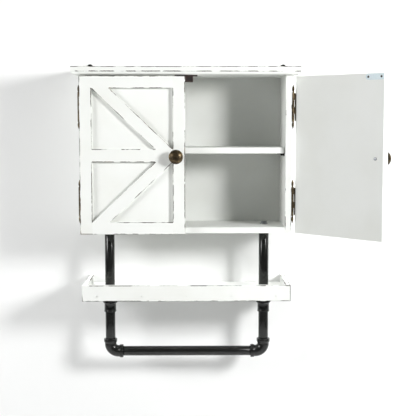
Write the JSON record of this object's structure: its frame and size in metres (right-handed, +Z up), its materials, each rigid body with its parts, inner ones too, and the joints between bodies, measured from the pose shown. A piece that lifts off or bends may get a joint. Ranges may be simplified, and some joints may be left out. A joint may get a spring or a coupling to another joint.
{
  "type": "hanging wall cabinet",
  "caption": "Wall-hung farmhouse cabinet with a pair of barn doors, an inner shelf, and an open tray and towel bar carried below on black pipes.",
  "frame": {"origin": "midway between the two hanging holes, in the plane of the wall", "axes": "+Z up, +Y into the wall, so the doors face -Y, and +X to the right seen from the front"},
  "size_m": [0.7572, 0.3408, 0.759],
  "materials": {
    "painted_wood": "satin warm white paint, rubbed through to dark brown wood along the arrises",
    "antique_brass": "dark antique brass, satin, lighter where handled",
    "black_pipe": "black powder coat, semi-gloss",
    "zinc": "bright zinc plate",
    "dark_steel": "blackened steel, satin",
    "brown_plastic": "matte moulded",
    "magnet": "dull grey"
  },
  "bodies": {
    "cabinet": {"top_cap": "painted_wood", "left_side_panel": "painted_wood", "right_side_panel": "painted_wood", "bottom_panel": "painted_wood", "back_panel": "painted_wood", "catch_housing": "brown_plastic", "catch_magnets": "magnet", "catch_screws": "dark_steel", "left_hanger": "dark_steel", "right_hanger": "dark_steel", "hanger_screws": "dark_steel", "shelf_pins": "dark_steel", "left_cabinet_hinge_leaves": "antique_brass", "right_cabinet_hinge_leaves": "antique_brass", "left_hinge_pins": "antique_brass", "right_hinge_pins": "antique_brass", "cabinet_hinge_screws": "antique_brass", "left_upper_pipe": "black_pipe", "right_upper_pipe": "black_pipe", "left_pipe_coupling": "black_pipe", "right_pipe_coupling": "black_pipe", "left_lower_pipe": "black_pipe", "right_lower_pipe": "black_pipe", "left_elbow": "black_pipe", "right_elbow": "black_pipe", "towel_bar": "black_pipe", "pipe_bolts": "zinc", "pipe_bolt_washers": "zinc", "pipe_plugs": "dark_steel", "tray_floor": "painted_wood", "tray_front": "painted_wood", "tray_left_side": "painted_wood", "tray_right_side": "painted_wood", "tray_nails": "painted_wood"},
    "left_door": {"left_door_board": "painted_wood", "left_door_stiles": "painted_wood", "left_door_top_rail": "painted_wood", "left_door_middle_rail": "painted_wood", "left_door_bottom_rail": "painted_wood", "left_door_braces": "painted_wood", "left_door_hinge_leaves": "antique_brass", "left_door_hinge_screws": "antique_brass", "left_knob": "antique_brass", "left_knob_screw": "zinc", "left_strike_plate": "zinc", "left_strike_screws": "dark_steel"},
    "right_door": {"right_door_board": "painted_wood", "right_door_stiles": "painted_wood", "right_door_top_rail": "painted_wood", "right_door_middle_rail": "painted_wood", "right_door_bottom_rail": "painted_wood", "right_door_braces": "painted_wood", "right_door_hinge_leaves": "antique_brass", "right_door_hinge_screws": "antique_brass", "right_knob": "antique_brass", "right_knob_screw": "zinc", "right_strike_plate": "zinc", "right_strike_screws": "dark_steel"},
    "shelf": {"shelf": "painted_wood"}
  },
  "joints": [
    {"name": "left_door_hinge", "type": "hinge", "parent": "cabinet", "child": "left_door", "pos_m": [-0.2633, -0.1605, -0.2245], "axis": [0, 0, -1], "range_deg": [0, 180]},
    {"name": "right_door_hinge", "type": "hinge", "parent": "cabinet", "child": "right_door", "pos_m": [0.2633, -0.1605, -0.2245], "axis": [0, 0, 1], "range_deg": [-135, 45]},
    {"name": "shelf_lift", "type": "slide", "parent": "cabinet", "child": "shelf", "axis": [0, 0, 1], "range_m": [0, 0.15]}
  ]
}
